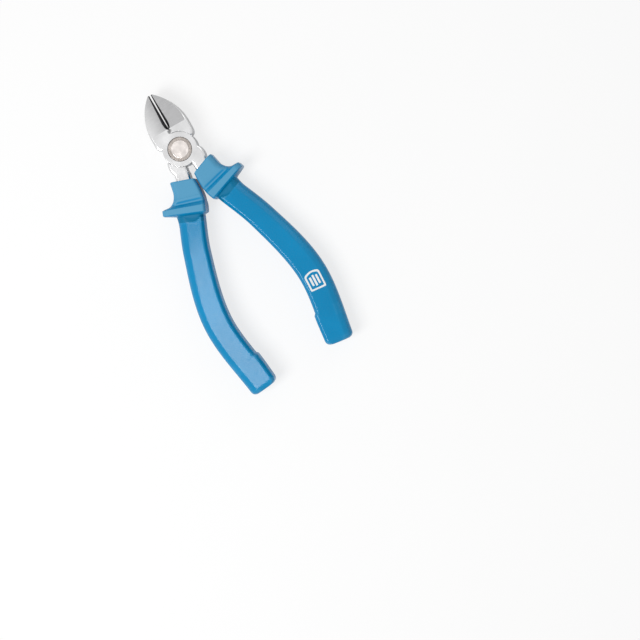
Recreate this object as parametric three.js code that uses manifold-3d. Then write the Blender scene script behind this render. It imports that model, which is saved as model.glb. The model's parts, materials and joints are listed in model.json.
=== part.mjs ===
// Side cutters, 125 mm, with a lap joint and moulded sleeve grips.
// Millimetres. The pivot is the centre of the drawing, the jaws point along +Y and the front face looks along +Z.
// Every piece is drawn with the jaws shut, then each half is turned about the pivot to the resting opening.

import * as THREE from "three";
import { mergeVertices } from "three/addons/utils/BufferGeometryUtils.js";
import Module from "manifold-3d";

const wasm = await Module();
wasm.setup();

// Whole tool
const OVERALL_LENGTH = 125;
const OPENING_AT_REST = 1.4; // degrees between the jaws

// Head
const HEAD_THICKNESS = 8.4;
const HEAD_ROUNDING = 0.9;
const HUB_RADIUS = 7;
const LAP_CLEARANCE = 0.2;
const JAW_REACH = 24.6; // pivot to tip
const JAW_HALF_WIDTH = 8.2;
const JAW_WIDEST_AT = 8.5;
const TIP_HALF_WIDTH = 0.55;
const HEEL_LENGTH = 2.9; // straight side below the widest point
const HEEL_RISE = 2.9; // lower end of the heel, above the pivot

// Ground faces of the jaws
const EDGE_CLEARANCE = 0.1; // between the shut cutting edges
const EDGE_LAND = 0.3;
const FACET_START = 10;
const FRONT_FACET_DROP = 1;
const BACK_FACET_DROP = 2.2;
const BEVEL_START = 9;
const BEVEL_RUNOUT = 3.5;
const FRONT_BEVEL_WIDTH = 1.35;
const FRONT_BEVEL_DEPTH = 1.5;
const BACK_BEVEL_WIDTH = 3.4;
const THROAT_RADIUS = 0.85;

// Rivet
const RIVET_RADIUS = 3;
const RIVET_HEAD_RADIUS = 4.8;
const RIVET_HEAD_DEPTH = 1.9;
const RIVET_HEAD_LAND = 0.4;
const RIVET_DISC_RADIUS = 3.8;
const RIVET_RING_DEPTH = 0.2;
const RIVET_CLEARANCE = 0.15;

// Shank, between the hub and the grip
const CROTCH_HALF_GAP = 1.3;
const SHANK_OVERHANG = 0.8; // beyond the hub, to the outside
const SHANK_SHOULDER_DROP = 2.4; // below the pivot
const SHANK_TAPER = 2.9; // from its widest place down to the grip

// Tang, inside the grip, measured to each side of the grip's centre line
const TANG_MOUTH_INSIDE = 3.75;
const TANG_MOUTH_OUTSIDE = 2.2;
const TANG_GUARD_HALF_WIDTH = 3;
const TANG_GUARD_HALF_THICKNESS = 2.7;
const TANG_END_HALF_WIDTH = 2.4;
const TANG_END_HALF_THICKNESS = 2.1;
const TANG_CHAMFER = 0.7;
const TANG_CLEARANCE = 0.25;

// Centre line of the grip
const MOUTH_OFFSET = 5.1;
const MOUTH_AT = 9.4; // right mouth, below the pivot
const LEFT_SLIP = 1.9; // the left sleeve sits this much further down its tang
const MOUTH_SKEW = 8; // degrees
const COLLAR_SLOPE = 12; // degrees
const GUARD_FROM_MOUTH = 11.1;
const THIGH_OFFSET = 14.7;
const THIGH_AT = 30.1; // below the mouth
const BELLY_OFFSET = 20.9;
const BELLY_AT = 58.7; // below the mouth
const END_OFFSET = 16.5;

// Width and height of the grip, to each side of its centre line
const COLLAR_HALF_WIDTH = 4.9;
const COLLAR_HALF_HEIGHT = 6;
const COLLAR_INSIDE_AT_GUARD = 6.3;
const SADDLE_START = 4;
const SADDLE_OUTSIDE = 6.8;
const GUARD_REACH = 11;
const GUARD_THICKNESS = 3;
const GUARD_HALF_HEIGHT = 6.8;
const GUARD_FLANK = 1; // run-out of the guard's lower side
const GROOVE_HALF_HEIGHT = 4.6;
const CROWN_RUNUP = 4.6; // from the guard to the flat crown
const CROWN_BOW = 2.4; // the crown starts this much earlier at its sides
const HANDLE_HALF_WIDTH = 5.3;
const HANDLE_HALF_HEIGHT = 5.2;
const BELLY_HALF_WIDTH = 5.8;
const HEEL_FROM_END = 14;
const HEEL_STEP = 0.6;
const END_ROUNDING = 2.2;
const END_WALL = 3;

// Bevels along the grip: width across and depth down
const INNER_BEVEL = [1.2, 1.7];
const OUTER_BEVEL = [3.1, 2.8];
const COLLAR_INNER_BEVEL = [0.8, 1.1];
const COLLAR_OUTER_BEVEL = [1.9, 2];
const GUARD_OUTER_BEVEL = [4.4, 3.2];

const STEEL = new THREE.MeshStandardMaterial({ color: 0xd8d9da, roughness: 0.22, metalness: 1 });
const RIVET_STEEL = new THREE.MeshStandardMaterial({ color: 0xc9c2bd, roughness: 0.35, metalness: 1 });
const VINYL = new THREE.MeshStandardMaterial({ color: 0x0a86ba, roughness: 0.35, metalness: 0 });

const HALF_HEAD = HEAD_THICKNESS / 2;
const RECESS_RADIUS = HUB_RADIUS + LAP_CLEARANCE;
const SHANK_OUTSIDE = HUB_RADIUS + SHANK_OVERHANG;
const FAR = 2 * OVERALL_LENGTH;

// Solids: from three.js geometry to a body that can be cut, and back

function solid(geometry) {
  const bare = geometry.clone();
  bare.deleteAttribute("normal");
  bare.deleteAttribute("uv");
  const merged = mergeVertices(bare, 1e-5);
  const mesh = new wasm.Mesh({
    numProp: 3,
    vertProperties: new Float32Array(merged.attributes.position.array),
    triVerts: new Uint32Array(merged.index.array),
  });
  return new wasm.Manifold(mesh);
}

function geometryOf(body) {
  const mesh = body.getMesh();
  const geometry = new THREE.BufferGeometry();
  geometry.setAttribute("position", new THREE.BufferAttribute(new Float32Array(mesh.vertProperties), 3));
  geometry.setIndex(new THREE.BufferAttribute(new Uint32Array(mesh.triVerts), 1));
  geometry.computeVertexNormals();
  return geometry;
}

function turnedOver(geometry) {
  return geometry.clone().rotateY(Math.PI);
}

function lathe(profile, segments = 72) {
  const points = profile.map(([radius, z]) => new THREE.Vector2(radius, z));
  return new THREE.LatheGeometry(points, segments).rotateX(Math.PI / 2);
}

function roundedPlate(shape, thickness, rounding) {
  const geometry = new THREE.ExtrudeGeometry(shape, {
    depth: thickness - 2 * rounding,
    bevelThickness: rounding,
    bevelSize: rounding,
    bevelOffset: -rounding,
    bevelSegments: 3,
    curveSegments: 20,
  });
  return geometry.translate(0, 0, rounding - thickness / 2);
}

// A closed skin through a row of loops with the same number of points
function loft(loops) {
  const around = loops[0].length;
  const points = loops.flat();
  const faces = [];
  for (let row = 0; row + 1 < loops.length; row += 1) {
    for (let k = 0; k < around; k += 1) {
      const a = row * around + k;
      const b = row * around + ((k + 1) % around);
      faces.push(a, b + around, b, a, a + around, b + around);
    }
  }
  for (const row of [0, loops.length - 1]) {
    const centre = new THREE.Vector3();
    loops[row].forEach((point) => centre.addScaledVector(point, 1 / around));
    points.push(centre);
    for (let k = 0; k < around; k += 1) {
      const a = row * around + k;
      const b = row * around + ((k + 1) % around);
      faces.push(...(row ? [b, a, points.length - 1] : [a, b, points.length - 1]));
    }
  }
  const geometry = new THREE.BufferGeometry().setFromPoints(points);
  geometry.setIndex(faces);
  return geometry;
}

// A smooth curve through [place, value] pairs that never swings past them
function profile(pairs) {
  const slope = pairs.slice(1).map(([x, y], i) => (y - pairs[i][1]) / (x - pairs[i][0]));
  const tangent = pairs.map((pair, i) => {
    const before = slope[i - 1];
    const after = slope[i];
    if (before === undefined || after === undefined || before * after <= 0) return 0;
    return (2 * before * after) / (before + after);
  });
  return (x) => {
    if (x <= pairs[0][0]) return pairs[0][1];
    const i = pairs.findIndex(([place]) => place >= x) - 1;
    if (i < 0) return pairs[pairs.length - 1][1];
    const [x0, y0] = pairs[i];
    const [x1, y1] = pairs[i + 1];
    const run = x1 - x0;
    const t = (x - x0) / run;
    const rise = t * t * (3 - 2 * t);
    const ease = t * (1 - t) * run * ((1 - t) * tangent[i] - t * tangent[i + 1]);
    return y0 + (y1 - y0) * rise + ease;
  };
}

function spread(from, to, steps) {
  return Array.from({ length: steps }, (_, i) => from + ((to - from) * i) / steps);
}

// Head: jaw, lap and shank of one half, as forged

// The next point inside the hub, straight on from the last bend of an outline
function onFrom(bend, end) {
  return end.clone().sub(bend).setLength(1.5).add(end);
}

function jawShape() {
  const rise = JAW_REACH - JAW_WIDEST_AT;
  const inset = JAW_HALF_WIDTH - TIP_HALF_WIDTH;
  const radius = (inset * inset + rise * rise) / (2 * inset);
  const heelRadius = Math.sqrt(HUB_RADIUS ** 2 - HEEL_RISE ** 2);
  const heel = new THREE.Vector2(heelRadius + 0.5, HEEL_RISE);
  const bend = new THREE.Vector2(JAW_HALF_WIDTH, HEEL_RISE + 0.6);
  const root = onFrom(bend, heel);
  const shape = new THREE.Shape();
  shape.moveTo(-HUB_RADIUS / 2, HUB_RADIUS / 3);
  shape.lineTo(root.x, root.y);
  shape.lineTo(heel.x, heel.y);
  shape.quadraticCurveTo(bend.x, bend.y, JAW_HALF_WIDTH, JAW_WIDEST_AT - HEEL_LENGTH);
  shape.lineTo(JAW_HALF_WIDTH, JAW_WIDEST_AT);
  shape.absarc(JAW_HALF_WIDTH - radius, JAW_WIDEST_AT, radius, 0, Math.asin(rise / radius), false);
  shape.lineTo(-HUB_RADIUS / 2, JAW_REACH);
  return shape;
}

function shankShape() {
  const shoulder = Math.sqrt(HUB_RADIUS ** 2 - SHANK_SHOULDER_DROP ** 2);
  const inner = gripPoint(1, -TANG_MOUTH_INSIDE);
  const outer = gripPoint(1, TANG_MOUTH_OUTSIDE);
  const neck = gripPoint(-0.4, TANG_MOUTH_OUTSIDE);
  const widest = new THREE.Vector2(SHANK_OUTSIDE, SHANK_TAPER - MOUTH_AT);
  const easing = 1.2 * HEAD_ROUNDING;
  const below = new THREE.Vector2(neck.x, neck.y).sub(widest).setLength(easing).add(widest);
  const top = new THREE.Vector2(shoulder + 0.5, -SHANK_SHOULDER_DROP);
  const bend = new THREE.Vector2(SHANK_OUTSIDE, -SHANK_SHOULDER_DROP - 1);
  const root = onFrom(bend, top);
  const shape = new THREE.Shape();
  shape.moveTo(CROTCH_HALF_GAP, -HUB_RADIUS / 2);
  shape.lineTo(CROTCH_HALF_GAP, -HUB_RADIUS);
  shape.lineTo(inner.x, inner.y);
  shape.lineTo(outer.x, outer.y);
  shape.lineTo(neck.x, neck.y);
  shape.lineTo(below.x, below.y);
  shape.quadraticCurveTo(widest.x, widest.y, widest.x, widest.y + easing);
  shape.quadraticCurveTo(bend.x, bend.y, top.x, top.y);
  shape.lineTo(root.x, root.y);
  return shape;
}

function forging() {
  const low = LAP_CLEARANCE / 2;
  const rim = HEAD_ROUNDING / 3;
  const jaw = roundedPlate(jawShape(), HEAD_THICKNESS, HEAD_ROUNDING);
  const cuttingLine = new THREE.BoxGeometry(FAR, FAR, FAR).translate((EDGE_CLEARANCE - FAR) / 2, 0, 0);
  const leftJaw = turnedOver(geometryOf(solid(jaw).subtract(solid(cuttingLine))));
  const shank = roundedPlate(shankShape(), HEAD_THICKNESS, HEAD_ROUNDING);
  const lap = lathe([
    [0, low],
    [HUB_RADIUS, low],
    [HUB_RADIUS, HALF_HEAD - rim],
    [HUB_RADIUS - rim, HALF_HEAD],
    [0, HALF_HEAD],
  ]);
  const recess = lathe([
    [0, -HEAD_THICKNESS],
    [RECESS_RADIUS, -HEAD_THICKNESS],
    [RECESS_RADIUS, low],
    [0, low],
  ]);
  return solid(leftJaw).add(solid(shank)).add(solid(tang(0))).subtract(solid(recess)).add(solid(lap));
}

// Grinding of the jaws, the same on both halves

function facetCutter(side, drop) {
  const slope = Math.atan2(drop, JAW_REACH - FACET_START);
  const block = new THREE.BoxGeometry(FAR, FAR, FAR).translate(0, FAR / 2, (side * FAR) / 2);
  return block.rotateX(-side * slope).translate(0, FACET_START, side * HALF_HEAD);
}

// A V-shaped groove along the cutting line, its floor rising to the face where the grinding wheel runs out
function grooveCutter(side, floor, width, depth) {
  const top = side * (HALF_HEAD + 1);
  const lean = width / depth;
  const face = side * HALF_HEAD;
  const loops = [];
  for (let i = 0; i <= 8; i += 1) {
    const angle = ((i / 8) * Math.PI) / 2;
    const y = BEVEL_START + BEVEL_RUNOUT * (1 - Math.cos(angle));
    const z = face + (floor - face) * Math.sin(angle);
    loops.push([y, z]);
  }
  loops.push([JAW_REACH + 1, floor]);
  return loft(
    loops.map(([y, z]) => {
      const half = Math.abs(top - z) * lean;
      const corners = [new THREE.Vector3(-half, y, top), new THREE.Vector3(0, y, z), new THREE.Vector3(half, y, top)];
      return side > 0 ? corners : corners.reverse();
    }),
  );
}

function ground(half) {
  const frontFloor = HALF_HEAD - FRONT_BEVEL_DEPTH;
  const backFloor = frontFloor - EDGE_LAND;
  const backDepth = backFloor + HALF_HEAD;
  const throat = new THREE.CylinderGeometry(THROAT_RADIUS, THROAT_RADIUS, FAR, 24);
  throat.rotateX(Math.PI / 2).translate(0, RECESS_RADIUS + THROAT_RADIUS, 0);
  return half
    .subtract(solid(facetCutter(1, FRONT_FACET_DROP)))
    .subtract(solid(facetCutter(-1, BACK_FACET_DROP)))
    .subtract(solid(grooveCutter(1, frontFloor, FRONT_BEVEL_WIDTH, FRONT_BEVEL_DEPTH)))
    .subtract(solid(grooveCutter(-1, backFloor, BACK_BEVEL_WIDTH, backDepth)))
    .subtract(solid(throat))
    .subtract(solid(rivet(RIVET_CLEARANCE)));
}

// Rivet with a countersunk head at each end, and a sunk ring round the front disc
function rivet(clearance) {
  const face = HALF_HEAD + clearance;
  const land = HALF_HEAD - RIVET_HEAD_LAND;
  const neck = HALF_HEAD - RIVET_HEAD_DEPTH;
  const head = RIVET_HEAD_RADIUS + clearance;
  const ring = clearance > 0 ? face : HALF_HEAD - RIVET_RING_DEPTH;
  const chamfer = face - ring;
  return lathe([
    [0, -face],
    [head, -face],
    [head, -land],
    [RIVET_RADIUS + clearance, -neck],
    [RIVET_RADIUS + clearance, neck],
    [head, land],
    [head, ring],
    [RIVET_DISC_RADIUS + chamfer, ring],
    ...(clearance > 0 ? [] : [[RIVET_DISC_RADIUS, face]]),
    [0, face],
  ]);
}

// Grip: places along its centre line are distances from the mouth

const GRIP_REACH = OVERALL_LENGTH - JAW_REACH;
const COLLAR_TURN = THREE.MathUtils.degToRad(COLLAR_SLOPE);
const MOUTH_TURN = THREE.MathUtils.degToRad(MOUTH_SKEW);
const centreLine = new THREE.CatmullRomCurve3([
  new THREE.Vector3(MOUTH_OFFSET, -MOUTH_AT, 0),
  new THREE.Vector3(
    MOUTH_OFFSET + GUARD_FROM_MOUTH * Math.sin(COLLAR_TURN),
    -MOUTH_AT - GUARD_FROM_MOUTH * Math.cos(COLLAR_TURN),
    0,
  ),
  new THREE.Vector3(THIGH_OFFSET, -MOUTH_AT - THIGH_AT, 0),
  new THREE.Vector3(BELLY_OFFSET, -MOUTH_AT - BELLY_AT, 0),
  new THREE.Vector3(END_OFFSET, -GRIP_REACH, 0),
]);
centreLine.arcLengthDivisions = 800;
const LINE_LENGTH = centreLine.getLength();
const GRIP_LENGTH = LINE_LENGTH - LEFT_SLIP;
const GUARD_TOP = GUARD_FROM_MOUTH - GUARD_THICKNESS / 2;
const GUARD_BOTTOM = GUARD_FROM_MOUTH + GUARD_THICKNESS / 2;
const CROWN_START = GUARD_BOTTOM + CROWN_RUNUP;
const HEEL_AT = GRIP_LENGTH - HEEL_FROM_END;
const END_START = GRIP_LENGTH - END_ROUNDING;
const BELLY_FROM_MOUTH = GRIP_LENGTH * (BELLY_AT / (GRIP_REACH - MOUTH_AT));

const skew = profile([[0, MOUTH_TURN], [GUARD_TOP, 0]]);

// A point beside the centre line: across is positive towards the outside of the tool, and slip moves it down the tang
function gripPoint(along, across, z = 0, slip = 0) {
  const place = along + slip;
  const share = THREE.MathUtils.clamp(place / LINE_LENGTH, 0, 1);
  const point = centreLine.getPointAt(share);
  const tangent = centreLine.getTangentAt(share);
  point.addScaledVector(tangent, place - share * LINE_LENGTH);
  const turn = skew(along);
  const side = new THREE.Vector3(-tangent.y, tangent.x, 0).applyAxisAngle(new THREE.Vector3(0, 0, 1), turn);
  return point.addScaledVector(side, across).setZ(z);
}

const outside = profile([
  [0, COLLAR_HALF_WIDTH],
  [SADDLE_START, COLLAR_HALF_WIDTH],
  [GUARD_TOP - 0.4, SADDLE_OUTSIDE],
  [GUARD_TOP + 0.3, GUARD_REACH],
  [GUARD_BOTTOM, GUARD_REACH],
  [GUARD_BOTTOM + GUARD_FLANK, HANDLE_HALF_WIDTH + 0.6],
  [CROWN_START + 3, HANDLE_HALF_WIDTH],
  [BELLY_FROM_MOUTH, BELLY_HALF_WIDTH],
  [GRIP_LENGTH, BELLY_HALF_WIDTH],
]);

const inside = profile([
  [0, COLLAR_HALF_WIDTH],
  [GUARD_TOP, COLLAR_INSIDE_AT_GUARD],
  [GUARD_BOTTOM, COLLAR_INSIDE_AT_GUARD],
  [GUARD_BOTTOM + GUARD_FLANK, HANDLE_HALF_WIDTH],
  [BELLY_FROM_MOUTH, BELLY_HALF_WIDTH],
  [HEEL_AT, BELLY_HALF_WIDTH],
  [HEEL_AT + 1.2, BELLY_HALF_WIDTH + HEEL_STEP],
  [GRIP_LENGTH, BELLY_HALF_WIDTH],
]);

// Half height of the grip at a place along it, and at a place across its crown from -1 to 1
function halfHeight(along, across) {
  const crownStart = CROWN_START - CROWN_BOW * across * across;
  const groove = GUARD_BOTTOM + 0.4 * (crownStart - GUARD_BOTTOM);
  const height = profile([
    [0, COLLAR_HALF_HEIGHT],
    [GUARD_TOP - 1.4, COLLAR_HALF_HEIGHT - 0.1],
    [GUARD_TOP, GUARD_HALF_HEIGHT],
    [GUARD_BOTTOM - 0.3, GUARD_HALF_HEIGHT],
    [groove, GROOVE_HALF_HEIGHT],
    [crownStart, HANDLE_HALF_HEIGHT],
  ]);
  return height(along);
}

function bevel(collar, guard, handle, part) {
  return profile([
    [GUARD_TOP - 0.8, collar[part]],
    [GUARD_TOP, guard[part]],
    [GUARD_BOTTOM, guard[part]],
    [GUARD_BOTTOM + GUARD_FLANK, handle[part]],
  ]);
}

const innerBevel = [0, 1].map((part) => bevel(COLLAR_INNER_BEVEL, COLLAR_INNER_BEVEL, INNER_BEVEL, part));
const outerBevel = [0, 1].map((part) => bevel(COLLAR_OUTER_BEVEL, GUARD_OUTER_BEVEL, OUTER_BEVEL, part));

// One loop of the sleeve: a flat crown, a narrow inner bevel and a wide, slightly full outer bevel, front and back
function gripLoop(along, slip) {
  const past = Math.max(0, along - END_START) / END_ROUNDING;
  const inset = END_ROUNDING * (1 - Math.sqrt(Math.max(0, 1 - past * past)));
  const inner = -inside(along) + inset;
  const outer = outside(along) - inset;
  const crownInner = inner + innerBevel[0](along);
  const crownOuter = outer - outerBevel[0](along);
  const front = [];
  const innerEdge = halfHeight(along, 1) - inset * 0.6;
  front.push([inner, innerEdge - innerBevel[1](along)]);
  for (let i = 0; i <= 6; i += 1) {
    const across = i / 3 - 1;
    const middle = (crownInner + crownOuter) / 2;
    const reach = (crownOuter - crownInner) / 2;
    front.push([middle + reach * across, halfHeight(along, across) - inset * 0.6]);
  }
  front.push([outer - outerBevel[0](along) * 0.36, innerEdge - outerBevel[1](along) * 0.36]);
  front.push([outer, innerEdge - outerBevel[1](along)]);
  const back = front.map(([across, z]) => [across, -z]).reverse();
  return [...front, ...back].map(([across, z]) => gripPoint(along, across, z, slip));
}

// Tang of the half, or the hollow for it when grown by a clearance
function tang(clearance) {
  const start = clearance > 0 ? -2 : -1;
  const end = GRIP_LENGTH - END_WALL + clearance;
  const straight = GUARD_TOP / 3;
  const insideWidth = profile([
    [straight, TANG_MOUTH_INSIDE],
    [GUARD_FROM_MOUTH, TANG_GUARD_HALF_WIDTH],
    [GRIP_LENGTH, TANG_END_HALF_WIDTH],
  ]);
  const outsideWidth = profile([
    [straight, TANG_MOUTH_OUTSIDE],
    [GUARD_FROM_MOUTH, TANG_GUARD_HALF_WIDTH],
    [GRIP_LENGTH, TANG_END_HALF_WIDTH],
  ]);
  const thickness = profile([
    [straight, HALF_HEAD],
    [GUARD_FROM_MOUTH, TANG_GUARD_HALF_THICKNESS],
    [GRIP_LENGTH, TANG_END_HALF_THICKNESS],
  ]);
  const places = [...spread(start, GUARD_FROM_MOUTH, 9), ...spread(GUARD_FROM_MOUTH, end, 20), end];
  return loft(
    places.map((along) => {
      const inner = -insideWidth(along) - clearance;
      const outer = outsideWidth(along) + clearance;
      const high = thickness(along) + clearance;
      const corners = [
        [inner, high - TANG_CHAMFER],
        [inner + TANG_CHAMFER, high],
        [outer - TANG_CHAMFER, high],
        [outer, high - TANG_CHAMFER],
      ];
      const mirrored = corners.map(([across, z]) => [across, -z]).reverse();
      return [...corners, ...mirrored].map(([across, z]) => gripPoint(along, across, z));
    }),
  );
}

function grip(slip) {
  const places = [
    ...spread(0, SADDLE_START, 3),
    ...spread(SADDLE_START, GUARD_TOP - 1.4, 5),
    ...spread(GUARD_TOP - 1.4, GUARD_TOP + 0.3, 6),
    ...spread(GUARD_TOP + 0.3, GUARD_BOTTOM - 0.3, 2),
    ...spread(GUARD_BOTTOM - 0.3, CROWN_START, 10),
    ...spread(CROWN_START, HEEL_AT, 15),
    ...spread(HEEL_AT, HEEL_AT + 1.2, 3),
    ...spread(HEEL_AT + 1.2, END_START, 3),
    ...[0, 0.35, 0.65, 0.88, 1].map((share) => END_START + share * END_ROUNDING),
  ];
  return solid(loft(places.map((along) => gripLoop(along, slip)))).subtract(solid(tang(TANG_CLEARANCE)));
}

// Assembly: the back half is the front half turned over, and each half carries its grip

function piece(name, geometry, material) {
  const mesh = new THREE.Mesh(geometry, material.clone());
  mesh.name = name;
  return mesh;
}

const half = forging();
const turn = THREE.MathUtils.degToRad(OPENING_AT_REST / 2);

const frontSide = new THREE.Group();
frontSide.rotation.z = turn;
frontSide.add(piece("front_half", geometryOf(ground(half)), STEEL));
frontSide.add(piece("right_grip", geometryOf(grip(0)), VINYL));
frontSide.add(piece("pivot_rivet", geometryOf(solid(rivet(0))), RIVET_STEEL));

const backSide = new THREE.Group();
backSide.rotation.z = -turn;
backSide.add(piece("back_half", geometryOf(ground(solid(turnedOver(geometryOf(half))))), STEEL));
backSide.add(piece("left_grip", turnedOver(geometryOf(grip(LEFT_SLIP))), VINYL));

// The tool lies on its back, with its middle over the origin
const tool = new THREE.Group();
tool.add(frontSide, backSide);
const box = new THREE.Box3().setFromObject(tool, true);
const middle = box.getCenter(new THREE.Vector3());
tool.position.set(-middle.x, -middle.y, -box.min.z);

const sideCutters = new THREE.Group();
sideCutters.name = "side_cutters";
sideCutters.add(tool);

export default sideCutters;
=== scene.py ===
"""Side cutters with a lap joint and moulded sleeve grips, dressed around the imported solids.

Pieces are drawn in millimetres with the jaws shut and the pivot at the centre of the
drawing, then turned to the resting opening and set in the row frame in metres.
"""

import json
import math
from types import SimpleNamespace

import bmesh
import bpy
import numpy as np
from bpy.props import FloatProperty, FloatVectorProperty, PointerProperty
from bpy.types import Operator, Panel, PropertyGroup
from mathutils import Euler, Matrix, Vector


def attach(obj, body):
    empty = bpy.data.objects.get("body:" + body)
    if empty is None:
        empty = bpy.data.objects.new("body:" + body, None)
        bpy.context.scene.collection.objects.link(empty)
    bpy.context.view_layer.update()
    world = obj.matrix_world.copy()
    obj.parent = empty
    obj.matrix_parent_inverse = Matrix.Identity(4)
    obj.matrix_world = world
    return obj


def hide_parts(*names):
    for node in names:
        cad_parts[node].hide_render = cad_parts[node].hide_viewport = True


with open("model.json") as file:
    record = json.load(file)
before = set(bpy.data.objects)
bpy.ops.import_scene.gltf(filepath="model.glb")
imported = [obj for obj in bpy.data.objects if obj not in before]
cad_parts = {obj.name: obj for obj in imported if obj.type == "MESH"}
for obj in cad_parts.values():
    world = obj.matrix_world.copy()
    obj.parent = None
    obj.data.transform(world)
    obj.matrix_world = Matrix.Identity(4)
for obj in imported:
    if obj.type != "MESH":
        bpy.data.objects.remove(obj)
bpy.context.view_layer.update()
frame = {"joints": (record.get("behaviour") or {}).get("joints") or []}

bl_info = {
    "name": "Side Cutters",
    "version": (1, 0, 0),
    "blender": (4, 5, 0),
    "location": "View3D > Sidebar > Side Cutters",
    "description": "Builds a pair of side cutters with moulded grips on its packed solids",
    "category": "Object",
}

MM = 0.001
PIVOT = Vector(frame["joints"][0]["pos_m"])
FAR = 300.0  # reach of a cutter that only needs one face, in drawing millimetres


# Sizes and colours that a user may change


def length(name, description, millimetres):
    """A length property whose default is given in millimetres."""
    return FloatProperty(
        name=name, description=description, default=millimetres * MM, unit="LENGTH", precision=5
    )


def angle(name, description, degrees):
    """An angle property whose default is given in degrees."""
    return FloatProperty(
        name=name, description=description, default=math.radians(degrees), unit="ROTATION", subtype="ANGLE"
    )


def colour(name, description, red, green, blue):
    """A linear colour property."""
    return FloatVectorProperty(
        name=name, description=description, default=(red, green, blue), size=3, min=0, max=1, subtype="COLOR"
    )


class HeadSizes(PropertyGroup):
    """Steel head, from the tip of the jaws to the ends of the tangs."""

    opening: angle("Opening", "Angle between the jaws at rest", 1.4)
    thickness: length("Thickness", "Thickness of the head", 8.4)
    rounding: length("Rounding", "Radius of the forged edges", 0.9)
    hub_radius: length("Hub radius", "Radius of the lapped hub", 7.0)
    lap_clearance: length("Lap clearance", "Gap between the two laps", 0.2)
    lap_rim: length("Lap rim", "Rounding of the lapped rims", 0.04)
    jaw_reach: length("Jaw reach", "From the pivot to the tip", 24.6)
    jaw_half_width: length("Jaw half width", "Widest place of one jaw", 8.2)
    jaw_widest_at: length("Jaw widest at", "Widest place above the pivot", 8.5)
    tip_half_width: length("Tip half width", "Half width at the tip", 0.55)
    heel_length: length("Heel length", "Straight side below the widest place", 2.9)
    heel_rise: length("Heel rise", "Lower end of the heel above the pivot", 2.9)
    edge_clearance: length("Edge clearance", "Between the shut cutting edges", 0.1)
    edge_land: length("Edge land", "Narrow flat along each cutting edge", 0.3)
    facet_start: length("Facet start", "Start of the ground jaw faces above the pivot", 9.3)
    front_facet_drop: length("Front facet drop", "Fall of the front jaw face to the tip", 1.0)
    back_facet_drop: length("Back facet drop", "Fall of the back jaw face to the tip", 2.2)
    bevel_start: length("Bevel start", "Start of the edge bevels above the pivot", 9.0)
    bevel_runout: length("Bevel run-out", "Length over which a bevel runs out", 3.5)
    front_bevel_width: length("Front bevel width", "Half width of the front V", 1.35)
    front_bevel_depth: length("Front bevel depth", "Depth of the front V", 1.5)
    back_bevel_width: length("Back bevel width", "Half width of the back V", 3.4)
    throat_radius: length("Throat radius", "Round relief behind the edges", 0.85)
    crotch_half_gap: length("Crotch half gap", "Half of the gap between the shanks", 1.3)
    shank_overhang: length("Shank overhang", "Outer side of a shank beyond the hub", 0.8)
    shank_shoulder_drop: length("Shoulder drop", "Shank shoulder below the pivot", 2.4)
    shank_taper: length("Shank taper", "From its widest place down to the grip", 2.9)
    tang_mouth_inside: length("Tang inside", "Tang at the mouth, to the inside", 3.75)
    tang_mouth_outside: length("Tang outside", "Tang at the mouth, to the outside", 2.2)
    tang_guard_half_width: length("Tang at guard", "Half width of the tang at the guard", 3.0)
    tang_guard_half_thickness: length("Tang thickness at guard", "Half thickness there", 2.7)
    tang_end_half_width: length("Tang end", "Half width of the tang at its end", 2.4)
    tang_end_half_thickness: length("Tang end thickness", "Half thickness there", 2.1)
    tang_chamfer: length("Tang chamfer", "Broken edges of the tang", 0.7)


class RivetSizes(PropertyGroup):
    """Solid rivet with a countersunk head at each end."""

    radius: length("Stem radius", "Radius of the stem", 3.0)
    head_radius: length("Head radius", "Radius of the countersunk heads", 4.8)
    head_depth: length("Head depth", "Depth of the countersink", 1.9)
    head_land: length("Head land", "Straight rim of a head", 0.4)
    disc_radius: length("Disc radius", "Raised disc on the front", 3.5)
    ring_depth: length("Ring depth", "Depth of the ring round the disc", 0.2)
    clearance: length("Clearance", "Gap round the rivet", 0.15)


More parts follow.
